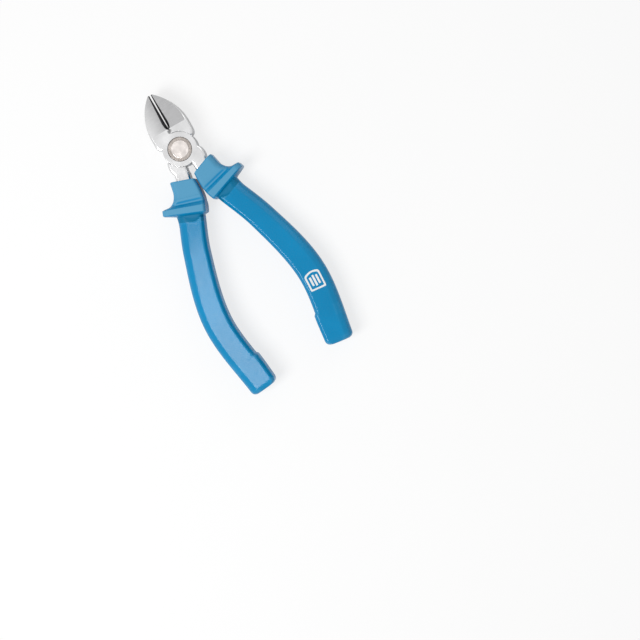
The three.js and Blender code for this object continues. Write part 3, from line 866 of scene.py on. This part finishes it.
def grinding_group():
    """Parallel grinding lines across the jaws, as a height and a mask."""
    tree, given, put = effect_group("grinding_lines", {"Across": 260, "Along": 9000}, ["Height", "Streaks"])
    place = new_node(tree.nodes, "ShaderNodeTexCoord")
    stretch = new_node(tree.nodes, "ShaderNodeCombineXYZ")
    scaled = new_node(tree.nodes, "ShaderNodeVectorMath", operation="MULTIPLY")
    lines = new_node(tree.nodes, "ShaderNodeTexNoise", inputs={"Scale": 1, "Detail": 4, "Roughness": 0.7})
    streaks = new_node(tree.nodes, "ShaderNodeMapRange", inputs={"From Min": 0.3, "From Max": 0.7})
    tree.links.new(given.outputs["Across"], stretch.inputs["X"])
    tree.links.new(given.outputs["Along"], stretch.inputs["Y"])
    tree.links.new(given.outputs["Along"], stretch.inputs["Z"])
    tree.links.new(place.outputs["Object"], scaled.inputs[0])
    tree.links.new(stretch.outputs["Vector"], scaled.inputs[1])
    tree.links.new(scaled.outputs["Vector"], lines.inputs["Vector"])
    tree.links.new(lines.outputs["Fac"], streaks.inputs["Value"])
    tree.links.new(lines.outputs["Fac"], put.inputs["Height"])
    tree.links.new(streaks.outputs["Result"], put.inputs["Streaks"])
    return tree


def effect(builder):
    """The node group of an effect, built on its first use."""
    name = {grain_group: "surface_grain", grinding_group: "grinding_lines"}[builder]
    return bpy.data.node_groups.get(name) or builder()


MIX_FACTOR, MIX_LOW, MIX_HIGH, MIX_RESULT = 0, 6, 7, 2  # colour sockets of a mix node


class Finish:
    """A material with a principled shader and short ways to feed it."""

    def __init__(self, name, **constants):
        self.material = bpy.data.materials.new(name)
        self.material.use_nodes = True
        self.tree = self.material.node_tree
        self.nodes, self.links = self.tree.nodes, self.tree.links
        self.shader = self.nodes["Principled BSDF"]
        for key, value in constants.items():
            self.shader.inputs[key.replace("_", " ")].default_value = value

    def placed(self, builder, **values):
        """Places an effect's group with its own values."""
        node = self.nodes.new("ShaderNodeGroup")
        node.node_tree = effect(builder)
        for key, value in values.items():
            node.inputs[key.replace("_", " ")].default_value = value
        return node

    def spread(self, mask, low, high, target):
        """Feeds a number that runs from low to high with a mask."""
        node = new_node(self.nodes, "ShaderNodeMapRange", inputs={"To Min": low, "To Max": high})
        self.links.new(mask, node.inputs["Value"])
        self.links.new(node.outputs["Result"], self.shader.inputs[target])

    def tinted(self, mask, low, high, before=None):
        """A colour that runs with a mask from low, or the colour before it, to high."""
        node = new_node(self.nodes, "ShaderNodeMix", data_type="RGBA")
        node.inputs[MIX_LOW].default_value = (*low, 1)
        node.inputs[MIX_HIGH].default_value = (*high, 1)
        if before is not None:
            self.links.new(before, node.inputs[MIX_LOW])
        self.links.new(mask, node.inputs[MIX_FACTOR])
        return node.outputs[MIX_RESULT]

    def coloured(self, output):
        """Feeds the base colour."""
        self.links.new(output, self.shader.inputs["Base Color"])

    def bumped(self, height, strength, distance, edge_radius=0.0):
        """Feeds the normal from a height, over edges softened by a radius."""
        bump = new_node(self.nodes, "ShaderNodeBump", inputs={"Strength": strength, "Distance": distance})
        self.links.new(height, bump.inputs["Height"])
        if edge_radius:
            soft = new_node(self.nodes, "ShaderNodeBevel", samples=6, inputs={"Radius": edge_radius})
            self.links.new(soft.outputs["Normal"], bump.inputs["Normal"])
        self.links.new(bump.outputs["Normal"], self.shader.inputs["Normal"])


def shade(colour_value, factor):
    """A colour made lighter or darker by a factor."""
    return [min(1.0, c * factor) for c in colour_value]


def plated_steel(c):
    """Satin plating on the forged steel."""
    finish = Finish("satin_plating", Metallic=1.0)
    grain = finish.placed(grain_group, Grain_Scale=2600, Patch_Scale=160)
    low, high = shade(c.plating, 0.95), shade(c.plating, 1.04)
    finish.coloured(finish.tinted(grain.outputs["Patches"], low, high))
    finish.spread(grain.outputs["Patches"], 0.13, 0.18, "Roughness")
    finish.bumped(grain.outputs["Height"], 0.06, 0.00004)
    return finish.material


# Span of the painted reflection on the left jaw's ground face
PAINTED_REFLECTION_SPAN = {"From Min": -0.0015, "From Max": -0.0078}  # across the jaws, in metres


def ground_steel(c):
    """Ground jaw faces with lines across them, and a painted reflection that brightens them towards the
    outer side of the left jaw.
    """
    finish = Finish("ground_jaw_faces", Metallic=1.0)
    lines = finish.placed(grinding_group, Across=300, Along=9000)
    streaks = finish.tinted(lines.outputs["Streaks"], shade(c.ground, 0.88), shade(c.ground, 1.12))
    place = new_node(finish.nodes, "ShaderNodeTexCoord")
    across = new_node(finish.nodes, "ShaderNodeSeparateXYZ")
    outer = new_node(finish.nodes, "ShaderNodeMapRange", inputs=PAINTED_REFLECTION_SPAN)
    finish.links.new(place.outputs["Object"], across.inputs["Vector"])
    finish.links.new(across.outputs["X"], outer.inputs["Value"])
    # Painted reflection: the ground colour goes over to the plating colour towards the left jaw's outer side
    finish.coloured(finish.tinted(outer.outputs["Result"], c.ground, c.plating, streaks))
    finish.spread(lines.outputs["Streaks"], 0.18, 0.26, "Roughness")
    finish.bumped(lines.outputs["Height"], 0.25, 0.00003, 0.0001)
    return finish.material


def edge_steel(c):
    """Bevels along the cutting edges, painted dark for the shade they show in the V between the jaws."""
    finish = Finish("bevels_painted_dark", Metallic=1.0)
    lines = finish.placed(grinding_group, Across=9000, Along=900)
    finish.coloured(finish.tinted(lines.outputs["Streaks"], shade(c.edge, 0.7), shade(c.edge, 1.5)))
    finish.spread(lines.outputs["Streaks"], 0.28, 0.4, "Roughness")
    finish.bumped(lines.outputs["Height"], 0.2, 0.00003)
    return finish.material


def rivet_steel(name, tone, rough, grain_scale):
    """One finish of the rivet, in its own tone and roughness."""
    finish = Finish(name, Metallic=1.0)
    grain = finish.placed(grain_group, Grain_Scale=grain_scale, Patch_Scale=420)
    finish.coloured(finish.tinted(grain.outputs["Patches"], shade(tone, 0.92), shade(tone, 1.06)))
    finish.spread(grain.outputs["Patches"], rough - 0.05, rough + 0.06, "Roughness")
    finish.bumped(grain.outputs["Height"], 0.2, 0.00004, 0.00008)
    return finish.material


def vinyl(c):
    """Glossy vinyl, paler along its edges from polish and a painted highlight, matt with a painted sheen on
    the collar, and darkened by painted shade in the groove.
    """
    finish = Finish("moulded_vinyl", Specular_IOR_Level=0.2)
    grain = finish.placed(grain_group, Grain_Scale=2400, Patch_Scale=70)
    patches = finish.tinted(grain.outputs["Patches"], shade(c.vinyl, 0.94), shade(c.vinyl, 1.05))
    crease, collar, groove = (
        new_node(finish.nodes, "ShaderNodeAttribute", attribute_name=name).outputs["Fac"]
        for name in ("crease", "collar", "groove")
    )
    # Paler along the edges, for polish and a painted highlight
    edges = finish.tinted(crease, c.vinyl, c.vinyl_polish_and_highlight, patches)
    # Painted shade in the groove below the guard
    deep = finish.tinted(groove, c.vinyl, c.vinyl_groove_painted_shade, edges)
    # Matt tops of the collar and the guard, with a painted sheen
    finish.coloured(finish.tinted(collar, c.vinyl, c.vinyl_matt_painted_sheen, deep))
    finish.spread(combined(finish.tree, "MAXIMUM", collar, groove), 0.15, 0.5, "Roughness")
    finish.bumped(grain.outputs["Height"], 0.22, 0.00006)
    return finish.material


def ink(c):
    """Pale printing ink."""
    finish = Finish("printed_ink", Specular_IOR_Level=0.4)
    grain = finish.placed(grain_group, Grain_Scale=2400, Patch_Scale=1500)
    finish.coloured(finish.tinted(grain.outputs["Patches"], shade(c.ink, 0.9), c.ink))
    finish.spread(grain.outputs["Patches"], 0.4, 0.5, "Roughness")
    finish.bumped(grain.outputs["Height"], 0.15, 0.00003)
    return finish.material


def made_once(name, builder, *arguments):
    """A finish's material, built on its first use."""
    return bpy.data.materials.get(name) or builder(*arguments)


# Operators


def settings(context):
    """Every settings group of the scene, as drawing sizes."""
    scene = context.scene
    return {name: drawing_sizes(getattr(scene, name)) for name in SETTINGS}


class CUTTER_OT_steel_halves(Operator):
    """Forge, lap and grind the two steel halves"""

    bl_idname = "cutter.steel_halves"
    bl_label = "Steel Halves"

    def execute(self, context):
        given = settings(context)
        h, finish = given["cutter_head"], given["cutter_finish"]
        form = SleeveForm(given["cutter_grip"], h)
        front = forging(h, form)
        back = front.copy()
        back.data = front.data.copy()
        context.scene.collection.objects.link(back)
        turned_over(back)
        materials = [
            made_once("satin_plating", plated_steel, finish),
            made_once("ground_jaw_faces", ground_steel, finish),
            made_once("bevels_painted_dark", edge_steel, finish),
        ]
        for half, name, turn in ((front, "front", 0.5), (back, "back", -0.5)):
            ground(half, h, given["cutter_rivet"])
            half.data.materials.clear()
            for material in materials:
                half.data.materials.append(material)
            mark_ground_faces(half, h)
            set_in_place(
                half,
                f"{name}_half_forging",
                turn * h.opening,
                f"{name}_side",
                f"{name}_half",
            )
            smooth_shaded(half, 24)
        return {"FINISHED"}


class CUTTER_OT_rivet(Operator):
    """Turn the countersunk pivot rivet"""

    bl_idname = "cutter.rivet"
    bl_label = "Pivot Rivet"

    def execute(self, context):
        given = settings(context)
        h, r, finish = given["cutter_head"], given["cutter_rivet"], given["cutter_finish"]
        face, soft, crisp = h.thickness / 2, 0.08, 0.03
        land, neck = face - r.head_land, face - r.head_depth
        ring, disc = face - r.ring_depth, r.disc_radius
        back = [(0, -face), (2.2, -face), (r.head_radius - soft, 0.02 - face), (r.head_radius, 0.1 - face)]
        stem = [(r.head_radius, -land), (r.radius, -neck), (r.radius, neck), (r.head_radius, land)]
        front = [(r.head_radius, ring - soft), (r.head_radius - soft, ring)]
        front += [(disc + crisp, ring), (disc, ring + crisp), (disc, face - crisp)]
        front += [(disc - crisp, face), (2.0, face), (0, face)]
        rivet = lathed("rivet", back + stem + front, 160)
        for name, tone, rough, grain in (
            ("rivet_disc", finish.rivet, 0.15, 2600),
            ("rivet_ring", finish.ring, 0.24, 5200),
        ):
            rivet.data.materials.append(made_once(name, rivet_steel, name, tone, rough, grain))
        for polygon in rivet.data.polygons:
            x, y, z = polygon.center
            beyond_disc = math.hypot(x, y) > disc + 0.02
            polygon.material_index = int(z > land and beyond_disc)
        set_in_place(rivet, "pivot_rivet_turned", h.opening / 2, "front_side", "pivot_rivet")
        smooth_shaded(rivet, 30)
        return {"FINISHED"}


class CUTTER_OT_grips(Operator):
    """Mould the two sleeve grips"""

    bl_idname = "cutter.grips"
    bl_label = "Sleeve Grips"

    def execute(self, context):
        given = settings(context)
        h, finish = given["cutter_head"], given["cutter_finish"]
        sizes = given["cutter_grip"]
        for name, side, turn, slip in (
            ("right", "front_side", 0.5, 0.0),
            ("left", "back_side", -0.5, sizes.left_slip),
        ):
            form = SleeveForm(sizes, h, slip)
            grip = sleeve(form)
            grip.data.materials.append(made_once("moulded_vinyl", vinyl, finish))
            self.mark_creases(grip)
            self.mark_collar(grip, form)
            if name == "left":
                turned_over(grip)
            set_in_place(grip, f"{name}_sleeve_grip", turn * h.opening, side, f"{name}_grip")
            smooth_shaded(grip, 60)
        return {"FINISHED"}

    @staticmethod
    def mark_creases(grip):
        """Keeps how sharply the skin turns outward at each point, for the polish and the painted highlight
        along its edges.
        """
        shell = bmesh.new()
        shell.from_mesh(grip.data)
        shell.normal_update()
        shortest, sharpest = 0.05, 4.0
        turns = np.zeros(len(shell.verts))
        for edge in shell.edges:
            turn = edge.calc_face_angle_signed(0.0) / max(edge.calc_length(), shortest)
            for vertex in edge.verts:
                turns[vertex.index] = max(turns[vertex.index], turn)
        shell.free()
        crease = grip.data.attributes.new("crease", "FLOAT", "POINT")
        crease.data.foreach_set("value", np.clip(turns / sharpest, 0, 1).astype(np.float32))

    @staticmethod
    def mark_collar(grip, form):
        """Keeps where the matt tops of the collar and the guard take a painted sheen, and where the groove
        below the guard takes painted shade.
        """
        count = len(grip.data.vertices)
        places, normals = np.empty(count * 3), np.empty(count * 3)
        grip.data.vertices.foreach_get("co", places)
        grip.data.vertices.foreach_get("normal", normals)
        places, normals = places.reshape(-1, 3), normals.reshape(-1, 3)
        line, slope, along = form.line[::8], form.slope[::8], form.places[::8] - form.slip
        matt, deep = np.zeros(count, np.float32), np.zeros(count, np.float32)
        upright, low = 0.35, form.guard_bottom
        for i in np.flatnonzero(np.abs(normals[:, 2]) > upright):
            near = np.argmin(((line - places[i, :2]) ** 2).sum(1))
            # Each share runs from 0 to 1 over a short ramp
            level = (0.5 - abs(normals[i, :2] @ slope[near])) / 0.25
            facing = (abs(normals[i, 2]) - upright) / 0.3
            above = (low + 0.2 - along[near]) / 0.3
            # Matt, and painted paler as a sheen, on the flat tops above the guard
            matt[i] = np.prod(np.clip((level, facing, above), 0, 1))
            # Painted shade: the deeper below the crown, the darker the groove
            if low < along[near] < form.crown_start:
                depth = form.size.handle_half_height - abs(places[i, 2])
                deep[i] = np.clip(depth / form.size.groove_shade, 0, 1)
        for name, value in (("collar", matt), ("groove", deep)):
            kept = grip.data.attributes.new(name, "FLOAT", "POINT")
            kept.data.foreach_set("value", value)


MARK_FOOT, MARK_TOP = -0.05, 0.03  # ink below and above the crown, in millimetres


class CUTTER_OT_size_mark(Operator):
    """Print a plain framed mark with three bars on the right grip"""

    bl_idname = "cutter.size_mark"
    bl_label = "Size Mark"

    def execute(self, context):
        given = settings(context)
        h, finish = given["cutter_head"], given["cutter_finish"]
        form = SleeveForm(given["cutter_grip"], h)
        self.form, self.vertices, self.faces = form, [], []
        half_width, half_length, line = 3.3, 3.8, 0.7
        self.middle, self.aside = 65.2, 0.5
        frame_out = self.arched(half_width, half_length, 1.0)
        frame_in = self.arched(half_width - line, half_length - line, 0.6)
        self.raised_ring(frame_out, frame_in)
        for across, reach in ((-1.4, 1.9), (0.0, 2.3), (1.4, 1.9)):
            self.raised_bar(across, reach, 0.42)
        mark = mesh_object("mark", self.vertices, self.faces)
        mark.data.materials.append(made_once("printed_ink", ink, finish))
        set_in_place(mark, "size_mark", h.opening / 2, "front_side", None)
        return {"FINISHED"}

    def arched(self, half_width, half_length, corner):
        """A rounded frame whose end nearer the jaws is arched."""
        rise, crest, foot = 0.5, 2.2, corner * 0.6
        corners = [
            (-half_width, -half_length + rise, corner),
            (0, -half_length - rise, crest),
            (half_width, -half_length + rise, corner),
            (half_width, half_length, foot),
            (-half_width, half_length, foot),
        ]
        return eased(corners, 8)

    def lifted(self, flat, height):
        """Points on the crown for (across, along) places, lifted by a height."""
        form = self.form
        g = form.size
        points = []
        for across, along in flat:
            place = self.middle + along
            low = -form.inside(place) + form.inner_bevel[0](place)
            high = form.outside(place) - form.outer_bevel[0](place)
            side = (low + high) / 2 + self.aside + across
            crown = g.handle_half_height - g.crown_fall * (side - low) / (high - low)
            points.append(form.point(place, side, crown + height))
        return points

    def raised_ring(self, outer, inner):
        """Adds the frame between two outlines."""
        count, start = len(outer), len(self.vertices)
        edges = ((outer, MARK_FOOT), (outer, MARK_TOP), (inner, MARK_TOP), (inner, MARK_FOOT))
        for flat, height in edges:
            self.vertices += self.lifted(flat, height)
        for row in range(4):
            low, high = start + row * count, start + (row + 1) % 4 * count
            for k in range(count):
                j = (k + 1) % count
                self.faces.append((low + k, low + j, high + j, high + k))

    def raised_bar(self, across, reach, half_width):
        """Adds one upright bar."""
        signs = ((-1, -1), (1, -1), (1, 1), (-1, 1))
        flat = eased([(across + sx * half_width, sy * reach, 0.15) for sx, sy in signs], 4)
        start = len(self.vertices)
        vertices, faces = skin([self.lifted(flat, height) for height in (MARK_FOOT, MARK_TOP)])
        self.vertices += vertices
        self.faces += [tuple(start + k for k in face) for face in faces]


FLOOR_AT = -0.0004  # just below the plane the tool lies on, in metres
NEAR_WHITE = 0.75  # how much of the paper beside the tool is plain white to the camera
NEAR_MIRRORED = 0.2  # the same, as polished faces mirror it
NEAR_REACH, FAR_REACH = 0.1, 0.5  # where the paper begins and ends going over to white
WORLD_LEVEL = 0.4  # how bright the white surroundings are as a light
LIGHTS = (  # name, place, width and height in metres, and power in watts
    ("key", (-0.305, -0.05, 0.6), (0.24, 0.36), 3.1),
    ("fill", (0.55, 0.35, 0.35), (0.4, 0.4), 0.5),
)


class CUTTER_OT_stage(Operator):
    """Set the floor, the world, the lights and the camera"""

    bl_idname = "cutter.stage"
    bl_label = "Stage"

    def execute(self, context):
        scene = context.scene
        given, finish = scene.cutter_stage, scene.cutter_finish
        scene.view_settings.view_transform = "Standard"
        self.lay_floor(given, finish)
        self.light_world(scene)
        for name, place, size, power in LIGHTS:
            self.hang_light(name, Vector(place), size, power)
        camera = bpy.data.objects.new("camera", bpy.data.cameras.new("camera"))
        camera.data.lens = given.lens
        camera.data.clip_start = 0.01
        camera.location = given.camera_place
        camera.rotation_euler = Euler(given.camera_turn)
        scene.collection.objects.link(camera)
        scene.camera = camera
        return {"FINISHED"}

    def lay_floor(self, given, finish):
        """Lays the floor under the tool."""
        half = given.floor_width / 2
        floor = bpy.data.objects.new("floor", bpy.data.meshes.new("floor"))
        corners = ((-half, -half), (half, -half), (half, half), (-half, half))
        floor.data.from_pydata([(x, y, FLOOR_AT) for x, y in corners], [], [(0, 1, 2, 3)])
        bpy.context.scene.collection.objects.link(floor)
        floor.data.materials.append(self.floor_paper(finish))

    def floor_paper(self, finish):
        """Matt paper that goes over to plain white away from the tool, and clear from below."""
        paper = Finish("floor_paper", Roughness=0.8, Specular_IOR_Level=0.1)
        tree, nodes, links = paper.tree, paper.nodes, paper.links
        grain = paper.placed(grain_group, Grain_Scale=900, Patch_Scale=14)
        low, high = shade(finish.floor, 0.99), shade(finish.floor, 1.01)
        paper.coloured(paper.tinted(grain.outputs["Patches"], low, high))
        place = new_node(nodes, "ShaderNodeNewGeometry")
        away = new_node(nodes, "ShaderNodeVectorMath", operation="LENGTH")
        reach = {"From Min": NEAR_REACH, "From Max": FAR_REACH, "To Min": NEAR_MIRRORED}
        far = new_node(nodes, "ShaderNodeMapRange", interpolation_type="SMOOTHSTEP", inputs=reach)
        links.new(place.outputs["Position"], away.inputs[0])
        links.new(away.outputs["Value"], far.inputs["Value"])
        camera, seen = ray_masks(tree)
        near = combined(tree, "MULTIPLY", camera, NEAR_WHITE)
        level = combined(tree, "MAXIMUM", near, far.outputs["Result"])
        white = new_node(nodes, "ShaderNodeEmission", inputs={"Color": (1, 1, 1, 1), "Strength": 1.0})
        clear = new_node(nodes, "ShaderNodeBsdfTransparent")
        mixed, whole = new_node(nodes, "ShaderNodeMixShader"), new_node(nodes, "ShaderNodeMixShader")
        links.new(combined(tree, "MULTIPLY", level, seen), mixed.inputs["Fac"])
        links.new(paper.shader.outputs["BSDF"], mixed.inputs[1])
        links.new(white.outputs["Emission"], mixed.inputs[2])
        links.new(place.outputs["Backfacing"], whole.inputs["Fac"])
        links.new(mixed.outputs["Shader"], whole.inputs[1])
        links.new(clear.outputs["BSDF"], whole.inputs[2])
        links.new(whole.outputs["Shader"], nodes["Material Output"].inputs["Surface"])
        return paper.material

    def light_world(self, scene):
        """Surrounds the tool with white that lights it less than it shows."""
        world = scene.world or bpy.data.worlds.new("studio")
        scene.world = world
        world.use_nodes = True
        tree = world.node_tree
        background = tree.nodes["Background"]
        background.inputs["Color"].default_value = (1, 1, 1, 1)
        _, seen = ray_masks(tree)
        levels = {"To Min": WORLD_LEVEL, "To Max": 1.0}
        level = new_node(tree.nodes, "ShaderNodeMapRange", inputs=levels)
        tree.links.new(seen, level.inputs["Value"])
        tree.links.new(level.outputs["Result"], background.inputs["Strength"])

    def hang_light(self, name, place, size, power):
        """Hangs an area light that faces the tool."""
        lamp = bpy.data.lights.new(name, "AREA")
        lamp.shape = "RECTANGLE"
        lamp.size, lamp.size_y = size
        lamp.energy = power
        light = bpy.data.objects.new(name, lamp)
        light.location = place
        light.rotation_euler = (-place).to_track_quat("-Z", "Y").to_euler()
        bpy.context.scene.collection.objects.link(light)


class CUTTER_PT_panel(Panel):
    """Lists the pieces of the side cutters"""

    bl_idname = "CUTTER_PT_panel"
    bl_label = "Side Cutters"
    bl_space_type = "VIEW_3D"
    bl_region_type = "UI"
    bl_category = "Side Cutters"

    def draw(self, context):
        for step in OPERATORS:
            self.layout.operator(step.bl_idname)
        for name in SETTINGS:
            box = self.layout.box()
            group = getattr(context.scene, name)
            for key in type(group).__annotations__:
                box.prop(group, key)


OPERATORS = (
    CUTTER_OT_steel_halves,
    CUTTER_OT_rivet,
    CUTTER_OT_grips,
    CUTTER_OT_size_mark,
    CUTTER_OT_stage,
)


def register():
    """Adds the classes, and their settings to every scene."""
    for group in (*SETTINGS.values(), *OPERATORS, CUTTER_PT_panel):
        bpy.utils.register_class(group)
    for name, group in SETTINGS.items():
        setattr(bpy.types.Scene, name, PointerProperty(type=group))


def unregister():
    """Takes the settings and the classes away again."""
    for name in SETTINGS:
        delattr(bpy.types.Scene, name)
    for group in reversed((*SETTINGS.values(), *OPERATORS, CUTTER_PT_panel)):
        bpy.utils.unregister_class(group)


def main():
    """Builds the tool on its stage."""
    register()
    bpy.ops.cutter.steel_halves()
    bpy.ops.cutter.rivet()
    bpy.ops.cutter.grips()
    bpy.ops.cutter.size_mark()
    bpy.ops.cutter.stage()


if __name__ == "__main__":
    main()
